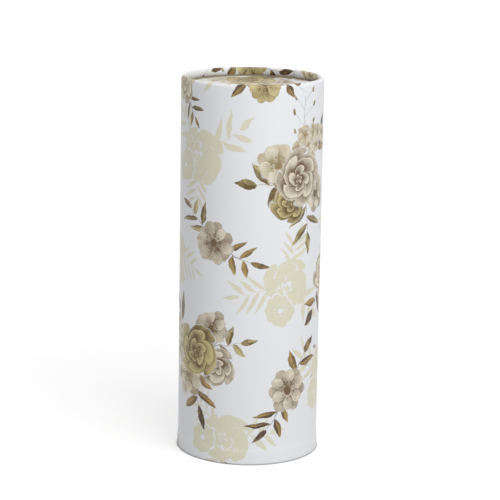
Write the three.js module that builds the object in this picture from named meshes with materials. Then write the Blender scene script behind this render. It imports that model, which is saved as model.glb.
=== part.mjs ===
// Cylinder keepsake box: a tube of wound board dressed in printed paper, with a base pressed into its foot
// and a shallow lid that drops into its mouth and rests on a ring inside.
// Millimetres, +Z up. The origin is the centre of the foot, on the surface that the box stands on.
import * as THREE from "three";

// Driving dimensions of the whole box
const BODY_DIAMETER = 120; // over the printed paper, on the plain stretch of the wall
const BODY_HEIGHT = 322; // from the foot to the crest of the rim

// Layers of the wall
const TUBE_WALL = 3.2; // wound board
const PAPER = 0.3; // every pasted sheet
const GLUE = 0.1; // paste line between two layers

// Rounding of the board at the rim, before the paper goes over it
const RIM_ROUND = 2.2; // outside
const RIM_INNER_ROUND = 1; // into the mouth

// The printed paper folded into the mouth ends above the lid, and a strip of bare board shows below it.
const BARE_STRIP = 1.2; // from the lid's face up to the end of the fold

// Foot
const FOOT_SWELL = 0.6; // how far the pressed-in base spreads the tube
const FOOT_TAPER = 4; // height over which that swelling dies away
const FOOT_FOLD = 8; // printed paper folded up inside the foot

// Base
const BASE_RECESS = 8; // from the foot up to the papered underside of the base
const BASE_BOARD = 2;
const BASE_HOOP_WALL = 1.5;

// Lid
const LID_CLEARANCE = 1; // all round, between the lid and the mouth
const LID_RECESS = 7.4; // from the crest of the rim down to the printed face of the lid
const LID_BOARD = 2;
const LID_EDGE_ROUND = 0.6; // of the board at the edge of its face
const LID_SKIRT_WALL = 1.5;
const LID_SKIRT_HEIGHT = 6; // below the board

// Ring that the lid rests on
const SEAT_GAP = 0.2; // under the resting lid
const SEAT_WALL = 3.8;
const SEAT_HEIGHT = 14;
const SKIRT_CLEARANCE = 0.4; // all round, between the lid's skirt and the ring

// Facets
const FACETS = 60; // round the box
const RIM_STEPS = 4; // along the rim's outer rounding
const EDGE_STEPS = 2; // along each smaller rounding

const printedPaper = new THREE.MeshStandardMaterial({ color: 0xf1eee6, roughness: 0.42, metalness: 0 });
const plainPaper = new THREE.MeshStandardMaterial({ color: 0xf4f2ec, roughness: 0.7, metalness: 0 });
const greyBoard = new THREE.MeshStandardMaterial({ color: 0xa39a8a, roughness: 0.9, metalness: 0 });
const whiteBoard = new THREE.MeshStandardMaterial({ color: 0xe9e5da, roughness: 0.8, metalness: 0 });

// What one pasted sheet adds to a face
const coverDepth = PAPER + GLUE;

// Radii of the wall, on its plain stretch
const boxRadius = BODY_DIAMETER / 2;
const tubeRadius = boxRadius - coverDepth;
const tubeBore = tubeRadius - TUBE_WALL;
const mouthRadius = tubeBore - coverDepth;

// Levels of the base
const baseBoardBottom = BASE_RECESS + coverDepth;
const baseBoardTop = baseBoardBottom + BASE_BOARD;
const floorTop = baseBoardTop + coverDepth;

// The tube is spread as high as the base or the folded paper reaches, then tapers to its plain stretch.
const spreadTop = Math.max(floorTop, FOOT_FOLD) + GLUE;
const plainStart = spreadTop + FOOT_TAPER;

// Levels of the lid, counted from the folded paper that it rests on
const lidBoardBottom = coverDepth;
const lidBoardTop = lidBoardBottom + LID_BOARD;
const lidFaceTop = lidBoardTop + coverDepth;

// Levels of the lid and its seat in the box
const lidRest = BODY_HEIGHT - LID_RECESS - lidFaceTop;
const seatTop = lidRest - SEAT_GAP;
const foldEnd = BODY_HEIGHT - LID_RECESS + BARE_STRIP;

// Radii of the ring that the lid rests on, which is pasted to the bare board
const seatRadius = tubeBore - GLUE;
const seatBore = seatRadius - SEAT_WALL;

// Points of a rounded edge about (radius, z), the angles in degrees: 0 points outwards and 90 points up.
function roundEdge(radius, z, round, from, to, steps) {
  const points = [];
  for (let step = 0; step <= steps; step++) {
    const angle = THREE.MathUtils.degToRad(from + ((to - from) * step) / steps);
    points.push([radius + round * Math.cos(angle), z + round * Math.sin(angle)]);
  }
  return points;
}

// The rounded top of an upright wall, from its outer face over to its inner face.
function roundedTop(outer, inner, top, outerRound, innerRound, outerSteps) {
  return [
    ...roundEdge(outer - outerRound, top - outerRound, outerRound, 0, 90, outerSteps),
    ...roundEdge(inner + innerRound, top - innerRound, innerRound, 90, 180, EDGE_STEPS),
  ];
}

// The foot of a wall face, from the bottom up to where the plain stretch starts.
function spreadFoot(radius, bottom) {
  return [
    [radius + FOOT_SWELL, bottom],
    [radius + FOOT_SWELL, spreadTop],
    [radius, plainStart],
  ];
}

// A solid of revolution from [radius, z] points, which run anticlockwise seen with the radius to the right.
// A profile off the axis is closed on itself.
function revolve(profile) {
  const closed = profile[0][0] === 0 ? profile : [...profile, profile[0]];
  const points = closed.map(([radius, z]) => new THREE.Vector2(radius, z));
  const distinct = points.filter((point, i) => i === 0 || point.distanceTo(points[i - 1]) > GLUE / 100);
  return new THREE.LatheGeometry(distinct, FACETS).rotateX(Math.PI / 2);
}

function disc(radius, bottom, top) {
  return revolve([[0, bottom], [radius, bottom], [radius, top], [0, top]]);
}

function ring(outer, inner, bottom, top) {
  return revolve([[outer, bottom], [outer, top], [inner, top], [inner, bottom]]);
}

function addPiece(group, name, geometry, material) {
  const piece = new THREE.Mesh(geometry, material);
  piece.name = name;
  group.add(piece);
}

// Tube, wrap and liner
function makeWall() {
  const wall = new THREE.Group();
  const rimRound = Math.min(RIM_ROUND, TUBE_WALL - RIM_INNER_ROUND);

  const tube = revolve([
    ...spreadFoot(tubeRadius, coverDepth),
    ...roundedTop(tubeRadius, tubeBore, BODY_HEIGHT - coverDepth, rimRound, RIM_INNER_ROUND, RIM_STEPS),
    ...spreadFoot(tubeBore, coverDepth).reverse(),
  ]);
  addPiece(wall, "body_tube", tube, greyBoard);

  // The wrap's shown face runs up the outside, over the rim and down into the mouth, and its pasted face
  // runs back. Under the foot it folds in and up between the tube and the base.
  const footFold = mouthRadius + FOOT_SWELL;
  const shownRim = roundedTop(
    boxRadius,
    mouthRadius,
    BODY_HEIGHT,
    rimRound + coverDepth,
    RIM_INNER_ROUND + coverDepth,
    RIM_STEPS,
  );
  const shownFace = [
    ...spreadFoot(boxRadius, 0),
    ...shownRim,
    [mouthRadius, foldEnd],
  ];
  const pastedRim = roundedTop(
    boxRadius - PAPER,
    mouthRadius + PAPER,
    BODY_HEIGHT - PAPER,
    rimRound + GLUE,
    RIM_INNER_ROUND + GLUE,
    RIM_STEPS,
  );
  const pastedFace = [
    [mouthRadius + PAPER, foldEnd],
    ...pastedRim.reverse(),
    ...spreadFoot(boxRadius - PAPER, PAPER).reverse(),
    [footFold + PAPER, PAPER],
    [footFold + PAPER, FOOT_FOLD],
    [footFold, FOOT_FOLD],
    [footFold, 0],
  ];
  addPiece(wall, "printed_wrap", revolve([...shownFace, ...pastedFace]), printedPaper);

  const linerTop = seatTop - SEAT_HEIGHT - GLUE;
  const linerBack = mouthRadius + PAPER;
  const liner = revolve([
    [linerBack + FOOT_SWELL, spreadTop],
    [linerBack, plainStart],
    [linerBack, linerTop],
    [mouthRadius, linerTop],
    [mouthRadius, plainStart],
    [mouthRadius + FOOT_SWELL, spreadTop],
  ]);
  addPiece(wall, "inner_liner", liner, plainPaper);
  return wall;
}

// Ring that the lid rests on
function makeSeat() {
  const seat = new THREE.Group();
  addPiece(seat, "lid_seat_ring", ring(seatRadius, seatBore, -SEAT_HEIGHT, 0), whiteBoard);
  seat.position.z = seatTop;
  return seat;
}

// Base: a hoop pressed into the foot, with a papered board at its top
function makeBase() {
  const base = new THREE.Group();
  const hoopRadius = mouthRadius + FOOT_SWELL - GLUE;
  const hoopBore = hoopRadius - BASE_HOOP_WALL;
  const boardRadius = hoopBore - GLUE;
  addPiece(base, "base_hoop", ring(hoopRadius, hoopBore, 0, baseBoardTop), whiteBoard);
  addPiece(base, "base_board", disc(boardRadius, baseBoardBottom, baseBoardTop), greyBoard);
  addPiece(base, "base_face_paper", disc(boardRadius, BASE_RECESS, BASE_RECESS + PAPER), plainPaper);
  addPiece(base, "base_floor_paper", disc(hoopRadius, floorTop - PAPER, floorTop), plainPaper);
  return base;
}

// Lid: a papered board with a skirt under it that drops inside the ring
function makeLid() {
  const lid = new THREE.Group();
  const lidRadius = mouthRadius - LID_CLEARANCE;
  const boardRadius = lidRadius - coverDepth;
  const edgeRound = Math.min(LID_EDGE_ROUND, LID_BOARD / 2);
  const skirtRadius = seatBore - SKIRT_CLEARANCE;
  const skirtBore = skirtRadius - LID_SKIRT_WALL;
  const skirtTop = lidBoardBottom - GLUE;

  const board = revolve([
    [0, lidBoardBottom],
    [boardRadius, lidBoardBottom],
    ...roundEdge(boardRadius - edgeRound, lidBoardTop - edgeRound, edgeRound, 0, 90, EDGE_STEPS),
    [0, lidBoardTop],
  ]);
  addPiece(lid, "lid_board", board, greyBoard);

  // The printed sheet covers the face, turns down over the edge and folds in under it, up to the skirt.
  const shownRound = edgeRound + coverDepth;
  const pastedRound = edgeRound + GLUE;
  const foldStop = skirtRadius + GLUE;
  const cover = revolve([
    [0, lidFaceTop - PAPER],
    ...roundEdge(boardRadius - edgeRound, lidBoardTop - edgeRound, pastedRound, 90, 0, EDGE_STEPS),
    [lidRadius - PAPER, PAPER],
    [foldStop, PAPER],
    [foldStop, 0],
    [lidRadius, 0],
    ...roundEdge(boardRadius - edgeRound, lidBoardTop - edgeRound, shownRound, 0, 90, EDGE_STEPS),
    [0, lidFaceTop],
  ]);
  addPiece(lid, "lid_cover_paper", cover, printedPaper);
  addPiece(lid, "lid_skirt", ring(skirtRadius, skirtBore, -LID_SKIRT_HEIGHT, skirtTop), whiteBoard);
  addPiece(lid, "lid_underside_paper", disc(skirtBore - GLUE, 0, PAPER), plainPaper);
  lid.position.z = lidRest;
  return lid;
}

const box = new THREE.Group();
box.add(makeWall(), makeSeat(), makeBase(), makeLid());

export default box;
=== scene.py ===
# %% [markdown]
# # A tall round keepsake box in printed paper
# The box is a tube of wound board in a sheet of printed paper, which runs over the rounded rim and under
# the foot. A papered lid drops into its mouth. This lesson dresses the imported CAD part: each paper and
# board is spun from a profile, and the flowers on the sheet are stamped with shader nodes, so no picture
# file is needed.

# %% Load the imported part
import math
import random

import bmesh
import bpy
from mathutils import Matrix, Vector, noise


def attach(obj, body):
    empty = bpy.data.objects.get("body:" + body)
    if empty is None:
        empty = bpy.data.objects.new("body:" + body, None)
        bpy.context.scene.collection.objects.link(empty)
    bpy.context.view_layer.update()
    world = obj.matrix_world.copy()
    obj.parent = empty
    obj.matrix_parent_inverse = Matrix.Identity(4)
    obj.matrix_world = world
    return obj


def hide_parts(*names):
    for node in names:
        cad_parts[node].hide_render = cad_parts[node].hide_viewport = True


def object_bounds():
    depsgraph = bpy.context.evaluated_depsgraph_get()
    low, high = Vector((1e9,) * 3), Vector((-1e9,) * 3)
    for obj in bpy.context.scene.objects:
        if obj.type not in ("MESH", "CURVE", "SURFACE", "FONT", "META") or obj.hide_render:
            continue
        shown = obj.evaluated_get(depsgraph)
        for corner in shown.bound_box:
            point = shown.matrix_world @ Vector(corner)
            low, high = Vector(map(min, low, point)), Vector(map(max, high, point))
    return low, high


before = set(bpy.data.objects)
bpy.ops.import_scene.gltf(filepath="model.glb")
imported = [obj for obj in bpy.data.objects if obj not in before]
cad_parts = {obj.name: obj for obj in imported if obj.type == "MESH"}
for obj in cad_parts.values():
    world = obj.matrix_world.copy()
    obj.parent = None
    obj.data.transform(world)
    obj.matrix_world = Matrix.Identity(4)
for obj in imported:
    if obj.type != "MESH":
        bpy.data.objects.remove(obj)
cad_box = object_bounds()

MM = 0.001
scene = bpy.context.scene
scene.view_settings.view_transform = "Standard"
print("CAD box in mm:", [[round(c / MM, 1) for c in corner] for corner in cad_box])

# %% [markdown]
# ## The camera
# The photograph was taken from a little above the rim with a long lens, so the box hardly narrows towards
# its foot. The distance, the tilt and the lens were found by fitting the outline of the plain cylinder to
# the picture. A picture is seldom level: the small roll turns the camera about its own line of sight.

# %% Camera
CAMERA_BACK = 1.6104  # metres in front of the axis
CAMERA_UP = 0.5298
CAMERA_TILT = 0.2184  # radians below the horizon
CAMERA_ROLL = 0.0166
CAMERA_LENS = 139.06
CAMERA_SENSOR = 36

camera_data = bpy.data.cameras.new("camera")
camera_data.lens = CAMERA_LENS
camera_data.sensor_width = CAMERA_SENSOR
camera = bpy.data.objects.new("camera", camera_data)
looking = Matrix.Rotation(math.pi / 2 - CAMERA_TILT, 4, "X") @ Matrix.Rotation(CAMERA_ROLL, 4, "Z")
camera.matrix_world = Matrix.Translation((0, -CAMERA_BACK, CAMERA_UP)) @ looking
scene.collection.objects.link(camera)
scene.camera = camera
print("camera", round(math.degrees(CAMERA_TILT), 1), "degrees down,", CAMERA_LENS, "mm lens")

# %% [markdown]
# ## Arithmetic with nodes
# A drawn flower is mostly arithmetic on the place where a ray lands, and each sum is one Math node. Placing
# hundreds by hand would be slow, so a Wire stands for the output of a node, and adding or multiplying wires
# adds the nodes.

# %% Wires
class Wire:
    """The output of a node. Arithmetic on it adds Math nodes to its tree."""

    def __init__(self, socket):
        self.socket = socket
        self.tree = socket.id_data

    def __add__(self, other):
        return calc("ADD", self, other)

    def __radd__(self, other):
        return calc("ADD", other, self)

    def __sub__(self, other):
        return calc("SUBTRACT", self, other)

    def __rsub__(self, other):
        return calc("SUBTRACT", other, self)

    def __mul__(self, other):
        return calc("MULTIPLY", self, other)

    def __rmul__(self, other):
        return calc("MULTIPLY", other, self)

    def __truediv__(self, other):
        return calc("DIVIDE", self, other)

    def __rtruediv__(self, other):
        return calc("DIVIDE", other, self)

    def __pow__(self, other):
        return calc("POWER", self, other)

    def __abs__(self):
        return calc("ABSOLUTE", self)


def feed(socket, value):
    """Links a wire to an input, or sets a plain value on it."""
    if isinstance(value, Wire):
        value.tree.links.new(value.socket, socket)
    else:
        socket.default_value = value


def add_math(kind, operation, values):
    """Adds a Math or Vector Math node to the tree of the first wire among the values."""
    tree = next(value.tree for value in values if isinstance(value, Wire))
    node = tree.nodes.new(kind)
    node.operation = operation
    for socket, value in zip(node.inputs, values):
        feed(socket, value)
    return node


def calc(operation, *values):
    return Wire(add_math("ShaderNodeMath", operation, values).outputs["Value"])


def vector_calc(operation, *values):
    return Wire(add_math("ShaderNodeVectorMath", operation, values).outputs["Vector"])


trial = bpy.data.node_groups.new("trial", "ShaderNodeTree")
total = Wire(trial.nodes.new("ShaderNodeValue").outputs[0]) * 2 + 1
print("twice a value plus one takes", len(total.tree.nodes), "nodes")
bpy.data.node_groups.remove(trial)

# %% Ramps, colours and noise
MIX_FIRST = 6  # a Mix node's colour sockets go by number, because its other sockets have the same names
MIX_SECOND = 7
MIX_RESULT = 2


def smooth(value, low, high):
    """0 at low and 1 at high, with a soft start and end."""
    node = value.tree.nodes.new("ShaderNodeMapRange")
    node.interpolation_type = "SMOOTHSTEP"
    node.clamp = False  # a smooth step stays between 0 and 1 by itself
    for socket, number in zip(node.inputs, (value, low, high)):
        feed(socket, number)
    return Wire(node.outputs[0])


def blend(share, first, second):
    """A colour between two colours."""
    node = share.tree.nodes.new("ShaderNodeMix")
    node.data_type = "RGBA"
    feed(node.inputs["Factor"], share)
    feed(node.inputs[MIX_FIRST], first)
    feed(node.inputs[MIX_SECOND], second)
    return Wire(node.outputs[MIX_RESULT])


def noise_wire(tree, place, scale, detail=2.0, roughness=0.5):
    """Clouds of noise at a place, as a number and as a colour."""
    node = tree.nodes.new("ShaderNodeTexNoise")
    feed(node.inputs["Vector"], place)
    node.inputs["Scale"].default_value = scale
    node.inputs["Detail"].default_value = detail
    node.inputs["Roughness"].default_value = roughness
    return Wire(node.outputs["Fac"]), Wire(node.outputs["Color"])


def own_place(tree):
    """Where a point is on its object, in metres."""
    return Wire(tree.nodes.new("ShaderNodeTexCoord").outputs["Object"])


def paint(red, green, blue):
    """A colour that is known by its screen values, as the linear colour that shaders use."""
    def linear(level):
        level /= 255
        return level / 12.92 if level <= 0.04045 else ((level + 0.055) / 1.055) ** 2.4
    return (linear(red), linear(green), linear(blue), 1)


SHEET_WHITE = paint(238, 239, 242)
print("white paper is", [round(c, 2) for c in SHEET_WHITE[:3]], "in linear light")

# %% [markdown]
# ## Floor and light
# The box stands in a white studio: one large soft lamp at the front right, a small one overhead that draws
# the bright line along the rim, and a pale room all round. The floor is a pale sheet that takes the box's
# shadow. A ray from the camera or from a shiny face finds a little more white there and in the room, which
# lifts the background to white without any more light on the box. On the floor that white grows away from
# the box, where the lamps fade, and it fades out at the foot, which paints a thin contact shadow: a dark
# line where the box stands.

# %% Floor
FLOOR_SIDE = 14
FLOOR_COLOUR = paint(206, 206, 206)
LIFT_NEAR = 0.5  # white added beside the box
LIFT_FAR = 0.755  # and where the lamps no longer reach
LIFT_FADE = 0.8  # metres
FOOT_PAINTED_SHADOW = (60.0 * MM, 62.5 * MM)  # from the foot out, where the floor's white fades away: a painted contact shadow round the box


def seen_directly(tree):
    """1 for rays from the camera, from shiny faces and through clear ones."""
    path = tree.nodes.new("ShaderNodeLightPath")
    shiny = calc("MAXIMUM", Wire(path.outputs["Is Glossy Ray"]), Wire(path.outputs["Is Transmission Ray"]))
    return calc("MAXIMUM", Wire(path.outputs["Is Camera Ray"]), shiny)


def from_middle(tree):
    """How far from the middle of the floor a point is, in metres."""
    return Wire(add_math("ShaderNodeVectorMath", "LENGTH", [own_place(tree)]).outputs["Value"])


floor_finish = bpy.data.materials.new("studio floor")
floor_finish.use_nodes = True
floor_tree = floor_finish.node_tree
floor_shader = floor_tree.nodes["Principled BSDF"]
floor_shader.inputs["Base Color"].default_value = FLOOR_COLOUR
floor_shader.inputs["Roughness"].default_value = 0.9
floor_shader.inputs["Specular IOR Level"].default_value = 0.0
floor_shader.inputs["Emission Color"].default_value = (1, 1, 1, 1)
distance = from_middle(floor_tree)
lift = LIFT_FAR - (LIFT_FAR - LIFT_NEAR) * calc("EXPONENT", distance / -LIFT_FADE)
# the white fades out at the foot, which paints a thin contact shadow round the box
lift = lift * smooth(distance, *FOOT_PAINTED_SHADOW)
feed(floor_shader.inputs["Emission Strength"], seen_directly(floor_tree) * lift)

floor_mesh = bpy.data.meshes.new("floor")
floor_sheet = bmesh.new()
bmesh.ops.create_grid(floor_sheet, x_segments=1, y_segments=1, size=FLOOR_SIDE / 2)
floor_sheet.to_mesh(floor_mesh)
floor_sheet.free()
floor = bpy.data.objects.new("floor", floor_mesh)
floor_mesh.materials.append(floor_finish)
scene.collection.objects.link(floor)
print("floor", FLOOR_SIDE, "m square")

# %% Lamps and room
ROOM_LEVEL = 0.48
KEY_POWER = 13
KEY_SIDE = 1.3
KEY_AWAY = 1.6
KEY_TURN = math.radians(29)  # to the right of the camera
KEY_HEIGHT = math.radians(34)
TOP_POWER = 2.5
TOP_SIDE = 0.8
TOP_AWAY = 1.3
TOP_TURN = math.radians(20)
TOP_HEIGHT = math.radians(78)

room = bpy.data.worlds.new("studio room")
scene.world = room
room.use_nodes = True
room_tree = room.node_tree
room_light = room_tree.nodes["Background"]
room_light.inputs["Color"].default_value = (1, 1, 1, 1)
feed(room_light.inputs["Strength"], seen_directly(room_tree) * (1 - ROOM_LEVEL) + ROOM_LEVEL)

middle = Vector((0, 0, (cad_box[0].z + cad_box[1].z) / 2))


def hang_lamp(name, power, side, away, turn, height):
    """A square soft lamp that looks at the middle of the box from a direction."""
    level = Vector((math.sin(turn), -math.cos(turn), 0))
    towards = level * math.cos(height) + Vector((0, 0, math.sin(height)))
    facing_box = towards.to_track_quat("Z", "Y").to_matrix().to_4x4()
    data = bpy.data.lights.new(name, "AREA")
    data.energy = power
    data.size = side
    lamp = bpy.data.objects.new(name, data)
    lamp.matrix_world = Matrix.Translation(middle + away * towards) @ facing_box
    scene.collection.objects.link(lamp)


hang_lamp("key lamp", KEY_POWER, KEY_SIDE, KEY_AWAY, KEY_TURN, KEY_HEIGHT)
hang_lamp("top lamp", TOP_POWER, TOP_SIDE, TOP_AWAY, TOP_TURN, TOP_HEIGHT)
print("key lamp", KEY_POWER, "W, top lamp", TOP_POWER, "W, room level", ROOM_LEVEL)

# %% [markdown]
# ## Drawing and spinning a profile
# Every piece of this box is round, so each starts as a wire of a few corner points, seen from the side. A
# vertex bevel rounds the corners, and a full spin makes the sheet. While it is still a wire, each point
# notes how far along the paper it lies, and the spin copies that note to every column: it tells later where
# the print goes.

# %% Profile
ROW = 6  # mm between rows on a long straight stretch
ROUNDING_STEPS = 8


def note_way_along(shape, start):
    """Walks the wire from its end nearest to start, and notes at each point how far it has come."""
    along = shape.verts.layers.float["along"]
    ends = [point for point in shape.verts if len(point.link_edges) == 1]
    walked = 0.0
    before = None
    here = min(ends, key=lambda end: (end.co - start).length)
    while here:
        here[along] = walked
        ahead = [edge.other_vert(here) for edge in here.link_edges if edge.other_vert(here) != before]
        before = here
        here = ahead[0] if ahead else None
        walked += (here.co - before.co).length if here else 0


def draw_profile(corners):
    """A wire through the corners, each given as radius, height and rounding in mm."""
    shape = bmesh.new()
    shape.verts.layers.float.new("along")
    points = [shape.verts.new((radius * MM, 0, height * MM)) for radius, height, _ in corners]
    for first, second in zip(points, points[1:]):
        shape.edges.new((first, second))
    start = points[0].co.copy()
    for point, (_, _, rounding) in zip(points, corners):
        if rounding:
            bmesh.ops.bevel(
                shape, geom=[point, *point.link_edges], offset=rounding * MM, offset_type="OFFSET",
                segments=ROUNDING_STEPS, profile=0.5, affect="VERTICES", material=-1,
            )
    for edge in shape.edges[:]:
        cuts = int(edge.calc_length() / (ROW * MM))
        if cuts:
            bmesh.ops.subdivide_edges(shape, edges=[edge], cuts=cuts)
    note_way_along(shape, start)
    return shape


print("a long stretch has a row every", ROW, "mm")

# %% Spin
FULL_TURN = 2 * math.pi
COLUMNS = 240  # round the box
SAME_POINT = 0.001  # mm


def front_angle(place):
    """How far round the box a point is, from the side that faces the camera towards its right."""
    return math.atan2(place.x, -place.y)


def spin_sheet(corners, from_angle=0.0):
    """Spins a profile into a sheet, from the given angle round the front."""
    shape = draw_profile(corners)
    turned = Matrix.Rotation(from_angle - math.pi / 2, 3, "Z")
    bmesh.ops.rotate(shape, verts=shape.verts, cent=(0, 0, 0), matrix=turned)
    bmesh.ops.spin(
        shape, geom=shape.verts[:] + shape.edges[:], cent=(0, 0, 0), axis=(0, 0, 1),
        angle=FULL_TURN, steps=COLUMNS, use_merge=True,
    )
    bmesh.ops.remove_doubles(shape, verts=shape.verts, dist=SAME_POINT * MM)
    return shape


def face_along(shape, shown):
    """Turns the sheet's faces to its shown side. shown(face) is positive where a face is right."""
    bmesh.ops.recalc_face_normals(shape, faces=shape.faces)
    shape.normal_update()
    right = sum(1 if shown(face) > 0 else -1 for face in shape.faces)
    if right < 0:
        bmesh.ops.reverse_faces(shape, faces=shape.faces)
    shape.normal_update()


def finish_mesh(shape, name, thickness=0.0):
    """Makes the bmesh an object. A thickness in mm is added behind the shown side."""
    for face in shape.faces:
        face.smooth = True
    mesh = bpy.data.meshes.new(name)
    shape.to_mesh(mesh)
    shape.free()
    piece = bpy.data.objects.new(name, mesh)
    scene.collection.objects.link(piece)
    if thickness:
        backing = piece.modifiers.new("paper thickness", "SOLIDIFY")
        backing.thickness = thickness * MM
        backing.offset = -1
    print(name, "has", len(mesh.polygons), "faces")
    return piece


print("a full turn has", COLUMNS, "columns")

# %% [markdown]
# ## The printed wrap
# One sheet goes round the tube, over the rim into the mouth and under the foot. In the mouth it stops just
# above the lid, where a narrow strip of bare board shows as a dark line. Its ends overlap in a lap at the
# back, which shows as a small step, and the paper that is turned into the mouth puckers a little, because
# the mouth is smaller than the wall. The lap starts from the first column of the spin: the next one is
# drawn up to it and lowered, and the columns after it come back up slowly.

# %% Sizes of the wrap
PAPER = 0.3
WALL_RADIUS = 60.0
MOUTH_RADIUS = 56.0
BOX_HEIGHT = 322.0
FOLD_END = 315.8  # just above the lid, so that a strip of bare board shows
RIM_ROUND = 2.6
RIM_INNER_ROUND = 1.35

FOOT_RADIUS = 60.6  # the base spreads the tube a little
FOOT_INNER_RADIUS = 56.6
FOOT_FOLD = 8.0  # height of the paper folded up inside the foot
FOOT_ROUND = 1.5
FOOT_INNER_ROUND = 0.6
SPREAD_TOP = 10.9  # from here the wall tapers
PLAIN_START = 14.9  # up to here
TAPER_ROUND = 1.6

wrap_corners = [
    (FOOT_INNER_RADIUS, FOOT_FOLD, 0),
    (FOOT_INNER_RADIUS, 0.0, FOOT_INNER_ROUND),
    (FOOT_RADIUS, 0.0, FOOT_ROUND),
    (FOOT_RADIUS, SPREAD_TOP, TAPER_ROUND),
    (WALL_RADIUS, PLAIN_START, TAPER_ROUND),
    (WALL_RADIUS, BOX_HEIGHT, RIM_ROUND),
    (MOUTH_RADIUS, BOX_HEIGHT, RIM_INNER_ROUND),
    (MOUTH_RADIUS, FOLD_END, 0),
]
print("the wrap's profile has", len(wrap_corners), "corners")

# %% Wrap and its lap
WRAP_SEAM = math.radians(140)
LAP_STEP = 0.2
LAP_EDGE = 0.25  # mm along the wall, from the lap's edge to the paper below
LAP_RAMP = 26


def past_seam(place, seam):
    """How far past the lap a point is, going round, in radians from 0 to a full turn."""
    return (front_angle(place) - seam) % FULL_TURN


def make_lap(shape, seam, radius):
    """Draws the column after the seam up to it, and lowers the paper there by one step."""
    column = FULL_TURN / COLUMNS
    next_column = [v for v in shape.verts if abs(past_seam(v.co, seam) - column) < column / 4]
    close_up = Matrix.Rotation(LAP_EDGE / radius - column, 3, "Z")
    bmesh.ops.rotate(shape, verts=next_column, cent=(0, 0, 0), matrix=close_up)
    shape.normal_update()
    for vert in shape.verts:
        arc = past_seam(vert.co, seam) * radius
        if 0.1 * LAP_EDGE < arc < LAP_RAMP:
            vert.co -= vert.normal * LAP_STEP * MM * (1 - arc / LAP_RAMP)


def outward(face):
    """Positive where a face looks away from the axis."""
    middle_of_face = face.calc_center_median()
    return face.normal.dot(Vector((middle_of_face.x, middle_of_face.y, 0))) * face.calc_area()


wrap_shape = spin_sheet(wrap_corners, WRAP_SEAM)
face_along(wrap_shape, outward)
make_lap(wrap_shape, WRAP_SEAM, WALL_RADIUS)
print("the lap is at", round(math.degrees(WRAP_SEAM)), "degrees from the front")

# %% Puckers in the mouth
PUCKER = 0.16
PUCKERS_ROUND = 9  # noise cells to one radian
PUCKER_LENGTH = 40  # mm, much longer than the fold is high
PUCKER_FROM = 300  # height above which the paper is in the mouth and not in the foot
PUCKER_REACH = 0.5  # mm from the mouth's own radius

puckered = 0
for vert in wrap_shape.verts:
    inside = math.hypot(vert.co.x, vert.co.y) / MM < MOUTH_RADIUS + PUCKER_REACH
    if inside and vert.co.z / MM > PUCKER_FROM:
        turn = front_angle(vert.co)
        round_x = PUCKERS_ROUND * math.cos(turn)
        round_y = PUCKERS_ROUND * math.sin(turn)
        ripple = noise.noise((round_x, round_y, vert.co.z / MM / PUCKER_LENGTH))
        vert.co.xy *= 1 - PUCKER * MM * max(0, ripple) / (MOUTH_RADIUS * MM)
        puckered += 1
print(puckered, "points lie in the mouth")

# %% [markdown]
# ## Where the print lies
# A print belongs to the flat sheet and not to the box, so the sheet gets a UV map of its own, in metres:
# across is the way round the wall from the front, and up is the way along the profile, which goes on over
# the rim. The map is cut where the paper is cut, at the lap. The notes from the wire give the second
# number, and the angle gives the first.

# %% Sheet map of the wrap
def foot_start(shape):
    """The note of the points at the lower outer edge, where the wall starts."""
    along = shape.verts.layers.float["along"]
    low = min(v.co.z for v in shape.verts)
    return max(v[along] for v in shape.verts if v.co.z < low + SAME_POINT * MM)


def map_round_wall(shape, seam, radius):
    along = shape.verts.layers.float["along"]
    sheet = shape.loops.layers.uv.new("sheet")
    zero = foot_start(shape)
    for face in shape.faces:
        face_turn = seam - FULL_TURN + past_seam(face.calc_center_median(), seam)
        for loop in face.loops:
            turn = front_angle(loop.vert.co)
            turn += FULL_TURN * round((face_turn - turn) / FULL_TURN)
            loop[sheet].uv = (turn * radius * MM, loop.vert[along] - zero)


map_round_wall(wrap_shape, WRAP_SEAM, WALL_RADIUS)
wrap = finish_mesh(wrap_shape, "printed_wrap_sheet", PAPER)
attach(wrap, "box")
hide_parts("printed_wrap")

# %% [markdown]
# ## The lid
# The lid is a disc of board with the same printed paper drawn over its face, down its edge and in under it.
# Its sheet map runs out from the middle in all directions, so the print lies flat on the face and simply
# carries on over the edge. A skirt under it centres it in the ring that it rests on.

# %% Lid cover
LID_RADIUS = 55.0
LID_FOLD_RADIUS = 52.2  # where the paper folded in under the lid ends
LID_TOP = 314.6
LID_BOTTOM = 311.8
LID_ROUND = 1.0
LID_FOLD_ROUND = 0.35
LID_MIDDLE = LID_TOP - 1  # a height inside the lid
LID_ON_SHEET = (-0.048, 0.068)  # the part of the print that the lid was cut from


def map_from_middle(shape, centre_on_sheet):
    along = shape.verts.layers.float["along"]
    sheet = shape.loops.layers.uv.new("sheet")
    for face in shape.faces:
        for loop in face.loops:
            turn = front_angle(loop.vert.co)
            out = loop.vert[along]
            loop[sheet].uv = (
                centre_on_sheet[0] + out * math.sin(turn),
                centre_on_sheet[1] - out * math.cos(turn),
            )


lid_shape = spin_sheet([
    (0, LID_TOP, 0),
    (LID_RADIUS, LID_TOP, LID_ROUND),
    (LID_RADIUS, LID_BOTTOM, LID_FOLD_ROUND),
    (LID_FOLD_RADIUS, LID_BOTTOM, 0),
])
face_along(lid_shape, lambda face: face.normal.z * (face.calc_center_median().z - LID_MIDDLE * MM))
map_from_middle(lid_shape, LID_ON_SHEET)
lid_cover = finish_mesh(lid_shape, "lid_cover_sheet", PAPER)
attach(lid_cover, "lid")
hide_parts("lid_cover_paper")

# %% [markdown]
# ## Board strips bent into rings
# The lid's skirt, the ring that it rests on and the hoop of the base are strips of white-lined board. Each
# is bent round until its ends meet in a butt joint, so the spin stops a hair short of a full turn and the
# two open ends are filled. A small bevel takes the knife edge off every corner.

# %% Rings
JOINT_GAP = 0.5
BOARD_BEVEL = 0.18
KNIFE_EDGE = math.radians(60)  # a sharper edge than this is bevelled


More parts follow.
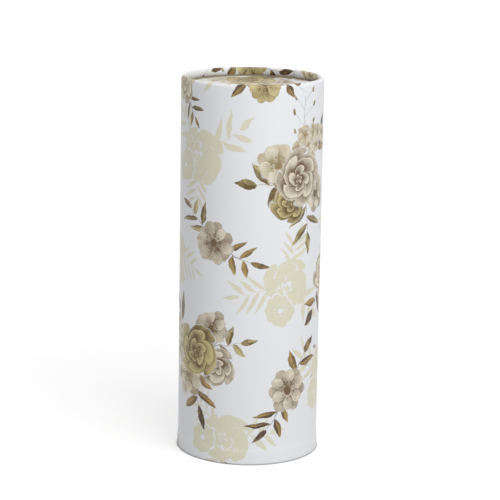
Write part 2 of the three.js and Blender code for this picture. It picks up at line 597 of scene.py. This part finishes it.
def bend_strip(name, outer, inner, bottom, top, joint_at):
    """A strip of board with its joint at an angle in degrees from the front. The sizes are in mm."""
    strip = bmesh.new()
    corners = [(outer, bottom), (outer, top), (inner, top), (inner, bottom)]
    points = [strip.verts.new((radius * MM, 0, height * MM)) for radius, height in corners]
    for number, point in enumerate(points):
        strip.edges.new((point, points[(number + 1) % len(points)]))
    turned = Matrix.Rotation(math.radians(joint_at) - math.pi / 2, 3, "Z")
    bmesh.ops.rotate(strip, verts=strip.verts, cent=(0, 0, 0), matrix=turned)
    bmesh.ops.spin(
        strip, geom=strip.verts[:] + strip.edges[:], cent=(0, 0, 0), axis=(0, 0, 1),
        angle=FULL_TURN - JOINT_GAP / outer, steps=COLUMNS // 2, use_merge=False,
    )
    bmesh.ops.holes_fill(strip, edges=strip.edges, sides=4)
    bmesh.ops.recalc_face_normals(strip, faces=strip.faces)
    sharp = [edge for edge in strip.edges if edge.calc_face_angle(0) > KNIFE_EDGE]
    bmesh.ops.bevel(
        strip, geom=sharp, offset=BOARD_BEVEL * MM, offset_type="OFFSET", segments=2, profile=0.5,
        affect="EDGES", material=-1,
    )
    return finish_mesh(strip, name)


lid_skirt = bend_strip("lid_skirt_strip", outer=52.1, inner=50.6, bottom=305.8, top=312.1, joint_at=200)
seat_ring = bend_strip("seat_ring_strip", outer=56.3, inner=52.5, bottom=297.6, top=311.6, joint_at=165)
base_hoop = bend_strip("base_hoop_strip", outer=56.5, inner=55.0, bottom=0.0, top=10.4, joint_at=120)
rings = [
    (lid_skirt, "lid", "lid_skirt"),
    (seat_ring, "box", "lid_seat_ring"),
    (base_hoop, "box", "base_hoop"),
]
for ring, body, node in rings:
    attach(ring, body)
    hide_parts(node)

# %% [markdown]
# ## Plain papers
# The inside of the tube, the floor, the underside of the base and the underside of the lid are covered in
# plain paper. The liner is a sheet with a lap of its own. The three discs are pasted down damp, so they dry
# with faint cockles, which a little noise in their height gives.

# %% Liner
LINER_SEAM = math.radians(215)
LINER_TOP = 297.5  # just below the ring that the lid rests on
LINER_ROUND = 1.2
LINER_THICKNESS = PAPER * 0.8

liner_corners = [
    (FOOT_INNER_RADIUS, SPREAD_TOP, 0),
    (MOUTH_RADIUS, PLAIN_START, LINER_ROUND),
    (MOUTH_RADIUS, LINER_TOP, 0),
]
liner_shape = spin_sheet(liner_corners, LINER_SEAM)
face_along(liner_shape, lambda face: -outward(face))
make_lap(liner_shape, LINER_SEAM, MOUTH_RADIUS)
liner = finish_mesh(liner_shape, "liner_sheet", LINER_THICKNESS)
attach(liner, "box")
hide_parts("inner_liner")

# %% Discs
COCKLE = 0.1
COCKLE_CELL = 22
DISC_THICKNESS = PAPER * 0.6


def paste_disc(name, radius, height, looks_up):
    """A paper disc whose cockles stay behind its flat height, so that it never stands proud."""
    disc = spin_sheet([(0, height, 0), (radius, height, 0)])
    face_along(disc, lambda face: face.normal.z if looks_up else -face.normal.z)
    inward = -1 if looks_up else 1
    for vert in disc.verts:
        flat = math.hypot(vert.co.x, vert.co.y) / (radius * MM)
        swell = noise.noise(vert.co / (COCKLE_CELL * MM)) * (1 - flat ** 4)
        vert.co.z += inward * COCKLE * MM * abs(swell)
    return finish_mesh(disc, name, DISC_THICKNESS)


base_face = paste_disc("base_face_disc", radius=54.9, height=8.0, looks_up=False)
base_floor = paste_disc("base_floor_disc", radius=56.5, height=10.8, looks_up=True)
lid_underside = paste_disc("lid_underside_disc", radius=50.5, height=LID_BOTTOM, looks_up=False)
discs = [
    (base_face, "box", "base_face_paper"),
    (base_floor, "box", "base_floor_paper"),
    (lid_underside, "lid", "lid_underside_paper"),
]
for disc, body, node in discs:
    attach(disc, body)
    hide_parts(node)

# %% [markdown]
# ## Stamps
# The print is built like a block print: a few stamps, each pressed many times. A stamp is a node group. It
# takes a point of the sheet, looks at it from its own place and turn, and answers two questions: how deep
# inside the drawn shape the point is, in mm, and how dark the pigment is there. The whole print repeats
# after a set width and height, which two Wrap sums in each stamp take care of.

# %% Groups
def socket_kind(value):
    if isinstance(value, (int, float)):
        return "NodeSocketFloat"
    return "NodeSocketVector" if len(value) == 3 else "NodeSocketColor"


def new_group(name, takes, gives):
    """A node group with these inputs. gives maps each output to a sample of its kind."""
    group = bpy.data.node_groups.new(name, "ShaderNodeTree")
    for label, value in takes.items():
        socket = group.interface.new_socket(label, in_out="INPUT", socket_type=socket_kind(value))
        socket.default_value = value
    for label, value in gives.items():
        group.interface.new_socket(label, in_out="OUTPUT", socket_type=socket_kind(value))
    entry = group.nodes.new("NodeGroupInput")
    return group, {label: Wire(entry.outputs[label]) for label in takes}


def close_group(group, **results):
    way_out = group.nodes.new("NodeGroupOutput")
    for label, wire in results.items():
        feed(way_out.inputs[label], wire)
    print("group", group.name, "has", len(group.nodes), "nodes")


def use_group(tree, group, **values):
    node = tree.nodes.new("ShaderNodeGroup")
    node.node_tree = group
    for label, value in values.items():
        feed(node.inputs[label], value)
    return {output.name: Wire(output) for output in node.outputs}


print("a number needs a", socket_kind(0.0), "and a place a", socket_kind((0, 0, 0)))

# %% What all stamps share
REPEAT_ROUND = 196  # mm
REPEAT_UP = 340
STAMP_TAKES = {"x": 0.0, "y": 0.0, "at_x": 0.0, "at_y": 0.0, "turn": 0.0, "size": 30.0, "seed": 0.0}
STAMP_GIVES = {"depth": 0.0, "tone": 0.0}


def seen_from(take):
    """How far along and across a stamp the point is, from the stamp's own place and turn, in mm."""
    x = calc("WRAP", take["x"] - take["at_x"], REPEAT_ROUND / 2, -REPEAT_ROUND / 2)
    y = calc("WRAP", take["y"] - take["at_y"], REPEAT_UP / 2, -REPEAT_UP / 2)
    cosine = calc("COSINE", take["turn"])
    sine = calc("SINE", take["turn"])
    return x * cosine + y * sine, y * cosine - x * sine


def chance(number):
    """A number from 0 to 1 that looks drawn by lot and is always the same for the same number."""
    return calc("FRACT", calc("SINE", number * 127.1) * 437.6)


print("the print repeats after", REPEAT_ROUND, "by", REPEAT_UP, "mm")

# %% [markdown]
# ### Leaf branch
# A branch has leaves in two rows. Folding the branch along its stem makes one row of two, and cutting that
# row into equal slots makes one leaf of many: the slot's number picks the leaf's length and shade, and the
# rest of the sum is the way across that leaf. The slots lean forward, as leaves do, and the stem bends.

# %% Stems and slots
OFF_STAMP = 12  # mm, deep enough outside to be blank


def on_stem(take):
    """How far up a bent stem a point is, how far out from it, in the stamp's own size, and on which side."""
    along, aside = seen_from(take)
    along = along / take["size"]
    aside = aside / take["size"] - take["bend"] * along * along
    return along, abs(aside), calc("SIGN", aside)


def lean_slot(take, along, out, side, offset):
    """The leaning slot that a point is in, and how far across it. The offset shifts the rows apart."""
    slot = take["pairs"] * (along - take["lean"] * out) + side * offset
    number = calc("FLOOR", slot)
    return number, slot - number - 0.5


def where_grown(depth, number, first, last):
    """Blanks the slots before the first and after the last number. Both lie halfway between two slots."""
    grows = calc("GREATER_THAN", number, first) * calc("LESS_THAN", number, last)
    return calc("MINIMUM", depth, (grows - 0.5) * OFF_STAMP)


print("a blank slot lies", OFF_STAMP / 2, "mm outside")

# %% Leaves of the branch
def leaf_outline(share):
    """Half the width of a leaf from its stalk, at 0, to its tip, at 1."""
    return calc("SINE", calc("POWER", share, 0.78) * math.pi)


branch_stamp, take = new_group(
    "leaf branch",
    {**STAMP_TAKES, "pairs": 4.0, "leaf": 0.42, "width": 0.4, "lean": 0.7, "bend": 0.2},
    STAMP_GIVES,
)
along, out, side = on_stem(take)
leaf_number, across = lean_slot(take, along, out, side, 0.2)
up_branch = leaf_number / take["pairs"]
leaf_shade = chance(leaf_number + side * 17.3 + take["seed"])
reach = take["leaf"] * (0.85 + 0.3 * leaf_shade - 0.35 * up_branch * up_branch)
skew = take["lean"] / (take["pairs"] * (take["lean"] * take["lean"] + 1))
leaf_out = out + skew * across  # square to the leaf's rib, so that its two halves match
along_leaf = calc("MINIMUM", calc("MAXIMUM", leaf_out / reach, 0), 1)
slot_width = take["size"] / take["pairs"] * 0.82
past_leaf = calc("MAXIMUM", abs(leaf_out - reach / 2) - reach / 2, 0) * take["size"]
leaf_depth = (take["width"] * leaf_outline(along_leaf) - abs(across)) * slot_width - past_leaf
leaf_depth = where_grown(leaf_depth, leaf_number, -0.5, take["pairs"] - 1.5)
print("leaves drawn with", len(branch_stamp.nodes), "nodes")

# %% Stem, tip and shade of the branch
stem_end = 1 - 0.75 / take["pairs"]
stem_depth = 0.55 - 0.25 * along - out * take["size"]
stem_depth = calc("MINIMUM", stem_depth, calc("MINIMUM", along, stem_end - along) * take["size"])
past_stem = along - stem_end
tip_along = calc("MINIMUM", calc("MAXIMUM", past_stem, 0) / take["leaf"], 1)
off_tip = abs(past_stem - tip_along * take["leaf"]) * take["size"]
tip_depth = take["width"] * leaf_outline(tip_along) * slot_width - out * take["size"] - off_tip
depth = calc("MAXIMUM", calc("MAXIMUM", leaf_depth, tip_depth), stem_depth)
far_half = smooth(across, -0.04, 0.05)
rib = smooth(abs(across), 0.05, 0.02)
tone = 0.05 + 0.5 * leaf_shade + 0.28 * far_half - 0.3 * rib + 0.35 * (1 - along_leaf)
close_group(branch_stamp, depth=depth, tone=tone)

# %% [markdown]
# ### Bud sprig
# The thin sprigs between the leaves carry a round bud at the end of each stalk. They use the same slots,
# but the shape in a slot is a line and a circle.

# %% Bud sprig
sprig_stamp, take = new_group(
    "bud sprig",
    {**STAMP_TAKES, "pairs": 4.0, "stalk": 0.22, "bud": 1.8, "lean": 0.9, "bend": 0.15},
    STAMP_GIVES,
)
along, out, side = on_stem(take)
bud_number, across = lean_slot(take, along, out, side, 0.25)
bud_shade = chance(bud_number + side * 9.1 + take["seed"])
reach = take["stalk"] * (0.75 + 0.5 * bud_shade)
off_line = across * take["size"] / take["pairs"] * 0.75
off_end = (out - reach) * take["size"]
bud_depth = take["bud"] * (0.7 + 0.5 * bud_shade) - calc("SQRT", off_line * off_line + off_end * off_end)
stalk_depth = calc("MINIMUM", 0.32 - abs(off_line), off_end * -1)
bud_depth = where_grown(calc("MAXIMUM", bud_depth, stalk_depth), bud_number, 0.5, take["pairs"] + 0.5)
stem_ends = calc("MINIMUM", along, 1 - along) * take["size"]
stem_depth = calc("MINIMUM", 0.4 - out * take["size"], stem_ends)
depth = calc("MAXIMUM", bud_depth, stem_depth)
tone = 0.3 + 0.5 * bud_shade + smooth(off_end, 0.6, -1.2) * 0.25
close_group(sprig_stamp, depth=depth, tone=tone)

# %% [markdown]
# ### Open flower
# An open flower is drawn in polar coordinates: the angle is cut into as many slots as there are petals, and
# a cosine in each slot gives the rounded end of the petal. Every petal has its own reach and shade, the
# gaps between petals stay unpainted, and a ring of stamens stands round the dark heart.

# %% Petals of the open flower
def polar(x, y):
    """Distance from the middle of a stamp and the angle round it."""
    return calc("SQRT", x * x + y * y), calc("ARCTAN2", y, x)


def petal_row(slot, take, seed):
    """How far across its petal's slot a point is, the petal's shade, and how far the petal reaches there."""
    number = calc("FLOOR", slot)
    across = slot - number - 0.5
    shade = chance(calc("FLOORED_MODULO", number, take["petals"]) + seed)
    end = calc("COSINE", across * 2.9) ** take["round"] * (0.8 + 0.2 * shade)
    return across, shade, end


flower_stamp, take = new_group(
    "open flower", {**STAMP_TAKES, "petals": 6.0, "round": 0.32, "gap": 0.2, "heart": 0.19}, STAMP_GIVES,
)
far, angle = polar(*seen_from(take))
far = far / take["size"]
slot = angle / FULL_TURN * take["petals"]
across, shade, petal_end = petal_row(slot, take, take["seed"])
_, back_shade, back_end = petal_row(slot + 0.5, take, take["seed"] + 31)
side_depth = (0.5 - abs(across)) * far * take["size"] * FULL_TURN / take["petals"] - take["gap"]
heart_depth = (take["heart"] * 1.4 - far) * take["size"]
end_depth = (petal_end * 0.94 - far) * take["size"]
front_depth = calc("MINIMUM", end_depth, calc("MAXIMUM", side_depth, heart_depth))
back_depth = (back_end - far) * take["size"]
depth = calc("MAXIMUM", front_depth, back_depth)
print("petals drawn with", len(flower_stamp.nodes), "nodes")

# %% Shade, heart and stamens of the open flower
STAMENS = 13

in_front = smooth(front_depth, 0, 0.5)
front_line = smooth(abs(front_depth), 0.7, 0.1)
vein = calc("SINE", across * 34 + shade * 9) * smooth(far, 0.95, 0.3)
front_tone = 1.1 * (1 - calc("POWER", far, 0.45)) + 0.3 * shade + 0.3 * across + 0.1 * vein - 0.06
back_tone = 0.1 + 0.4 * back_shade + 0.45 * (1 - far)
stamen_slot = calc("FRACT", angle / FULL_TURN * STAMENS + shade * 0.2) - 0.5
stamen_far = far - take["heart"] * (1.5 + 0.5 * shade)
stamens = smooth(calc("SQRT", stamen_slot * stamen_slot * 0.03 + stamen_far * stamen_far), 0.05, 0.025)
heart = smooth(far, take["heart"] * 1.15, take["heart"] * 0.7)
tone = back_tone + in_front * (front_tone - back_tone) + 0.16 * front_line
tone = calc("MAXIMUM", tone, 1.1 * calc("MAXIMUM", heart, stamens))
close_group(flower_stamp, depth=depth, tone=tone)

# %% [markdown]
# ### Full flower
# A full flower has ring upon ring of petals. A sum that grows outwards and dips at each petal's joint
# counts the rings: its whole part is the ring, and the rest runs from the shadow under the inner petals to
# the pale lip. The angle drifts from ring to ring, so that each petal sits over the joint of two others.

# %% Full flower
full_stamp, take = new_group(
    "full flower", {**STAMP_TAKES, "petals": 4.0, "rings": 3.0, "offset": 0.16}, STAMP_GIVES,
)
x, y = seen_from(take)
x = x / take["size"]
y = y / take["size"]
rough_far = calc("SQRT", x * x + y * y)
x = x + take["offset"] * (1 - calc("MINIMUM", rough_far, 1))  # the middle sits a little to one side
far, angle = polar(x, y)
drift = angle / FULL_TURN * take["petals"] + far * take["rings"] * 0.55 + take["seed"]
scallop = abs(calc("SINE", drift * math.pi))
ring_sum = take["rings"] * calc("POWER", far, 0.85) * 1.2 - 0.75 * calc("POWER", scallop, 0.6)
ring_number = calc("FLOOR", ring_sum)
in_ring = ring_sum - ring_number
petal_shade = chance(calc("FLOOR", drift) * 3.7 + ring_number * 11.3 + take["seed"])
depth = (take["rings"] - 0.4 - ring_sum) / take["rings"] * take["size"] * 0.8
shadow = calc("POWER", 1 - in_ring, 1.5)
lip = smooth(in_ring, 0.8, 0.95)
joint = smooth(scallop, 0.22, 0.06) * smooth(far, 0.15, 0.4)
heart = 0.5 * (1 - far) * (1 - far)
tone = 0.7 * shadow + heart + 0.42 * petal_shade - 0.4 * lip + 0.25 * joint - 0.12
close_group(full_stamp, depth=depth, tone=tone)

# %% [markdown]
# ### Ink
# Watercolour is darkest where a wash dries, along the outline, and it settles unevenly in the paper. The
# ink group turns a stamp's depth and tone into pigment, adds that edge and the shared wash and grain,
# leaves a thin pale margin round what lies over something else, and lays the result over the colour below.
# The pale flat shapes need only a cover, so they have a simpler ink. It leaves slits of bare paper where
# the stamp is darkest, as a stencil does.

# %% Watercolour ink
WASH_CONTRAST = 1.3
WASH_MIDDLE = 0.57  # the tone that the contrast leaves as it is
EDGE_SHADE = 0.36

wash_ink, take = new_group(
    "watercolour ink",
    {
        "below": SHEET_WHITE, "depth": 0.0, "tone": 0.5, "light": SHEET_WHITE, "dark": SHEET_WHITE,
        "uneven": 0.0, "strength": 1.0, "margin": 0.5,
    },
    {"colour": SHEET_WHITE},
)
edge = smooth(take["depth"], 1.0, 0.1)
contrasted = WASH_CONTRAST * (take["tone"] - WASH_MIDDLE) + WASH_MIDDLE
pigment = blend(contrasted + EDGE_SHADE * edge + take["uneven"], take["light"], take["dark"])
margin = smooth(take["depth"], -1.0, -0.1) * take["margin"]
cover = smooth(take["depth"], 0, 0.5) * take["strength"]
close_group(wash_ink, colour=blend(cover, blend(margin, take["below"], SHEET_WHITE), pigment))

# %% Flat ink
NO_SLITS = 9.0  # a tone that no stamp reaches
SLIT_EDGE = 0.12

flat_ink, take = new_group(
    "flat ink",
    {
        "below": SHEET_WHITE, "depth": 0.0, "tone": 0.0, "light": SHEET_WHITE, "uneven": 0.0, "strength": 1.0,
        "soft": 0.4, "slits": NO_SLITS,
    },
    {"colour": SHEET_WHITE},
)
inked = 1 - smooth(take["tone"], take["slits"], take["slits"] + SLIT_EDGE)
cover = smooth(take["depth"], 0, take["soft"]) * take["strength"] * (1 + 0.3 * take["uneven"]) * inked
close_group(flat_ink, colour=blend(cover, take["below"], take["light"]))

# %% [markdown]
# ## The print
# Now the sheet is printed, colour over colour: first the pale sprays, then the bouquets and the posies, each
# with its leaves before its flowers. A hand never draws the same outline twice, so the sheet's coordinates
# are bent by noise before any stamp sees them. Small functions with seeded random numbers place the stamps,
# so the print is the same on every run.

# %% Pigments
CREAM = paint(224, 220, 197)
MIST = paint(226, 216, 202)
TAUPE = (paint(227, 217, 197), paint(104, 80, 46))
KHAKI = (paint(206, 191, 138), paint(98, 77, 26))
UMBER = (paint(184, 153, 88), paint(66, 43, 14))
BEIGE = (paint(232, 224, 203), paint(146, 126, 84))
print("two flat pigments, and", len((TAUPE, KHAKI, UMBER, BEIGE)), "that run from light to dark")

# %% Sheet
HAND_BEND = 6  # mm from end to end, by which the noise bends what is drawn
INK_STRENGTH = 0.98

print_group, take = new_group("floral print", {"place": (0, 0, 0)}, {"colour": SHEET_WHITE})
to_mm = vector_calc("MULTIPLY", take["place"], (1 / MM, 1 / MM, 0))
_, bend_by = noise_wire(print_group, to_mm, scale=0.07, detail=4, roughness=0.6)
bent = vector_calc("MULTIPLY_ADD", bend_by, (HAND_BEND, HAND_BEND, 0), to_mm)
split = print_group.nodes.new("ShaderNodeSeparateXYZ")
feed(split.inputs[0], bent)
sheet_x = Wire(split.outputs["X"]) - HAND_BEND / 2
sheet_y = Wire(split.outputs["Y"]) - HAND_BEND / 2
wash, _ = noise_wire(print_group, to_mm, scale=0.11, detail=5, roughness=0.62)
grain, _ = noise_wire(print_group, to_mm, scale=1.3, detail=2, roughness=0.6)
uneven = 1.6 * (wash - 0.5) + 0.35 * (grain - 0.5)
sheet = {"colour": use_group(print_group, flat_ink, strength=0.0)["colour"], "presses": 0}


def press(stamp, at, turn, size, pigments, ink=None, **shape):
    """Presses one stamp on the sheet, at a place in mm. One pigment is flat, two are light and dark."""
    drawn = use_group(
        print_group, stamp, x=sheet_x, y=sheet_y, at_x=at[0], at_y=at[1], turn=turn, size=size, **shape,
    )
    common = {"strength": INK_STRENGTH, **(ink or {})}
    common.update(below=sheet["colour"], depth=drawn["depth"], tone=drawn["tone"], uneven=uneven)
    if len(pigments) == 2:
        light, dark = pigments
        inked = use_group(print_group, wash_ink, light=light, dark=dark, **common)
    else:
        inked = use_group(print_group, flat_ink, light=pigments[0], **common)
    sheet["colour"] = inked["colour"]
    sheet["presses"] += 1


def out_from(at, turn, distance):
    return (at[0] + distance * math.cos(turn), at[1] + distance * math.sin(turn))


print("the bare sheet has", len(print_group.nodes), "nodes")

# %% Pale sprays
SEEDS = (0, 50)  # the range that each stamp's own seed is drawn from
NO_GAP = -9.0  # mm between petals, so far below 0 that they run together


def leaf_fan(at, ways, length, pigments, draw, start, pairs=(2.0, 3.0)):
    """Branches that leave a flower in the given directions, with a few leaves each."""
    for way in ways:
        way += draw.uniform(-0.2, 0.2)
        press(
            branch_stamp, out_from(at, way, start), way, length * draw.uniform(0.9, 1.15),
            draw.choice(pigments), pairs=draw.choice(pairs), leaf=draw.uniform(0.44, 0.54),
            width=draw.uniform(0.26, 0.33), lean=draw.uniform(0.6, 0.9), bend=draw.uniform(-0.2, 0.2),
            seed=draw.uniform(*SEEDS),
        )


def pale_spray(at, size, turn, seed):
    """A large and a small flat cream flower, with leaves round them and slits left white."""
    draw = random.Random(seed)
    small_seed = draw.uniform(*SEEDS)
    ways = [turn + number * 2.1 for number in range(3)]
    leaf_fan(at, ways, size * 1.2, [[CREAM]], draw, size * 0.6, pairs=(3.0, 4.0))
    press(full_stamp, at, turn, size, [CREAM], ink={"slits": 0.84}, seed=draw.uniform(*SEEDS))
    beside = out_from(at, turn + 3.2, size * 0.9)
    for share, colour, slits in ((0.66, SHEET_WHITE, NO_SLITS), (0.6, CREAM, 0.9)):
        press(
            flower_stamp, beside, turn, size * share, [colour], ink={"slits": slits}, petals=5.0, round=0.5,
            gap=NO_GAP, seed=small_seed,
        )


pale_spray((-46, 262), 27, 0.4, seed=1)
pale_spray((34, 156), 26, 1.2, seed=2)
pale_spray((-18, 24), 25, 0.1, seed=3)
pale_spray((88, 72), 26, 0.8, seed=4)
pale_spray((-90, 176), 23, 2.0, seed=5)
print(sheet["presses"], "presses so far")

# %% Bouquets
def sprig_fan(at, ways, length, pigments, draw, start):
    """Bud sprigs that leave a flower in the given directions."""
    for way in ways:
        press(
            sprig_stamp, out_from(at, way, start), way, length * draw.uniform(0.9, 1.1),
            draw.choice(pigments), ink={"margin": 0.0}, pairs=draw.choice([3.0, 4.0]),
            bud=draw.uniform(1.6, 2.2), bend=draw.uniform(-0.25, 0.25), seed=draw.uniform(*SEEDS),
        )


def blossoms(at, way, scale, pigments, draw):
    """A bunch of small flowers at one side of a bouquet."""
    for number in range(8):
        spot = out_from(at, way + draw.uniform(-0.5, 0.5), (20 + 3.6 * number) * scale)
        press(
            flower_stamp, spot, draw.uniform(0, 6), draw.uniform(7.5, 10) * scale, pigments, petals=5.0,
            round=0.45, heart=0.16, seed=draw.uniform(*SEEDS),
        )


def bouquet(at, scale, turn, seed, main, second):
    """A full flower with other flowers, small blossoms, leaves and a sprig round it."""
    draw = random.Random(seed)
    press(flower_stamp, out_from(at, turn + 2.2, 26 * scale), turn, 24 * scale, [MIST], ink={"soft": 8.0})
    sprig_fan(at, [turn + 0.9], 54 * scale, [KHAKI], draw, 12 * scale)
    leaf_fan(at, [turn + 0.2, turn + 2.7, turn + 4.3], 38 * scale, [UMBER, KHAKI], draw, 17 * scale)
    blossoms(at, turn + 0.7, scale, BEIGE, draw)
    for stamp, size, pigments, way in (
        (flower_stamp, 20, BEIGE, turn + 2.1),
        (full_stamp, 19, second, turn + 3.6),
        (flower_stamp, 18, TAUPE, turn + 5.0),
    ):
        spot = out_from(at, way, 26 * scale)
        press(stamp, spot, way, size * scale, pigments, seed=draw.uniform(*SEEDS))
    press(full_stamp, at, turn, 27 * scale, main, seed=draw.uniform(*SEEDS))


bouquet((46, 246), 1.0, 0.6, seed=11, main=TAUPE, second=KHAKI)
bouquet((-50, 96), 1.0, 2.2, seed=12, main=KHAKI, second=TAUPE)
print(sheet["presses"], "presses so far")

# %% Posies
def posy(at, scale, turn, seed, stamp, pigments):
    """One flower with a few leaves."""
    draw = random.Random(seed)
    leaf_fan(at, [turn, turn + 3.4], 30 * scale, [UMBER, KHAKI], draw, 11 * scale)
    press(stamp, at, turn, 20 * scale, pigments, seed=draw.uniform(*SEEDS))


posy((-32, 190), 1.0, 2.4, seed=21, stamp=flower_stamp, pigments=TAUPE)
posy((-72, 318), 0.95, 5.2, seed=22, stamp=full_stamp, pigments=BEIGE)
posy((84, 156), 1.0, 4.0, seed=23, stamp=full_stamp, pigments=BEIGE)
posy((36, 64), 1.05, 1.0, seed=24, stamp=flower_stamp, pigments=TAUPE)
posy((10, 324), 0.85, 3.0, seed=25, stamp=flower_stamp, pigments=KHAKI)
close_group(print_group, colour=sheet["colour"])
print(sheet["presses"], "presses of", len((branch_stamp, sprig_stamp, flower_stamp, full_stamp)), "stamps")

# %% [markdown]
# ## Finishes
# The printed sheet is laminated: smooth, with a satin shine that shows the light of the lamp as a broad
# soft band. The plain papers and boards are dull, with fibres and flecks. A Bump node reads the fibres, and
# the roughness varies a little, because no paper is even.

# %% Printed paper
def new_finish(name):
    finish = bpy.data.materials.new(name)
    finish.use_nodes = True
    tree = finish.node_tree
    return finish, tree, tree.nodes["Principled BSDF"]


def add_bump(tree, shader, height, distance, strength):
    """Raises the surface by a wire. The distance is in mm."""
    bump = tree.nodes.new("ShaderNodeBump")
    bump.inputs["Distance"].default_value = distance * MM
    bump.inputs["Strength"].default_value = strength
    feed(bump.inputs["Height"], height)
    feed(shader.inputs["Normal"], Wire(bump.outputs["Normal"]))


printed, tree, shader = new_finish("printed satin paper")
sheet_map = tree.nodes.new("ShaderNodeUVMap")
sheet_map.uv_map = "sheet"
colour = use_group(tree, print_group, place=Wire(sheet_map.outputs["UV"]))["colour"]
feed(shader.inputs["Base Color"], colour)
spot = own_place(tree)
fibre, _ = noise_wire(tree, spot, scale=900, detail=3)
mottle, _ = noise_wire(tree, spot, scale=60, detail=2)
feed(shader.inputs["Roughness"], 0.34 + 0.1 * mottle + 0.06 * fibre)
shader.inputs["Specular IOR Level"].default_value = 0.45
add_bump(tree, shader, fibre, distance=0.04, strength=0.25)
print(printed.name, "has", len(tree.nodes), "nodes beside the print")

# %% Plain paper
plain, tree, shader = new_finish("plain uncoated paper")
spot = own_place(tree)
cloud, _ = noise_wire(tree, spot, scale=70, detail=3)
fibre, _ = noise_wire(tree, spot, scale=1400, detail=4, roughness=0.65)
colour = blend(0.6 * cloud + 0.4 * fibre, paint(228, 225, 216), paint(243, 241, 235))
feed(shader.inputs["Base Color"], colour)
feed(shader.inputs["Roughness"], 0.72 + 0.12 * fibre)
shader.inputs["Specular IOR Level"].default_value = 0.25
add_bump(tree, shader, fibre, distance=0.06, strength=0.4)
print(plain.name, "has", len(tree.nodes), "nodes")

# %% Boards
def add_chips(tree, spot, pale, dark):
    """Grey board is pulped waste paper: a pale ground with darker clouds and chips."""
    cloud, _ = noise_wire(tree, spot, scale=120, detail=4, roughness=0.6)
    chip, _ = noise_wire(tree, spot, scale=1600, detail=2)
    return blend(0.65 * cloud + 0.6 * smooth(chip, 0.56, 0.7), pale, dark), chip


grey, tree, shader = new_finish("grey wound board")
colour, chip = add_chips(tree, own_place(tree), paint(176, 165, 146), paint(126, 115, 98))
feed(shader.inputs["Base Color"], colour)
feed(shader.inputs["Roughness"], 0.84 + 0.1 * chip)
add_bump(tree, shader, chip, distance=0.08, strength=0.4)
print(grey.name, "has", len(tree.nodes), "nodes")

lined, tree, shader = new_finish("white lined board")
spot = own_place(tree)
core, chip = add_chips(tree, spot, paint(188, 178, 160), paint(138, 127, 110))
fibre, _ = noise_wire(tree, spot, scale=1100, detail=4, roughness=0.65)
lining = blend(fibre, paint(222, 218, 207), paint(238, 235, 227))
facing = tree.nodes.new("ShaderNodeSeparateXYZ")
geometry = tree.nodes.new("ShaderNodeNewGeometry")
feed(facing.inputs[0], Wire(geometry.outputs["Normal"]))
cut_edge = smooth(abs(Wire(facing.outputs["Z"])), 0.75, 0.95)  # the cut edges look up or down
feed(shader.inputs["Base Color"], blend(cut_edge, lining, core))
feed(shader.inputs["Roughness"], 0.7 + 0.15 * fibre)
add_bump(tree, shader, fibre + chip * cut_edge, distance=0.06, strength=0.4)
print(lined.name, "has", len(tree.nodes), "nodes")

# %% Put the finishes on
for piece in (wrap, lid_cover):
    piece.data.materials.append(printed)
for piece in (liner, base_face, base_floor, lid_underside):
    piece.data.materials.append(plain)
for piece in (lid_skirt, seat_ring, base_hoop):
    piece.data.materials.append(lined)
for node in ("body_tube", "base_board", "lid_board"):
    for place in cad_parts[node].material_slots:
        place.material = grey
print(len(bpy.data.materials), "materials")
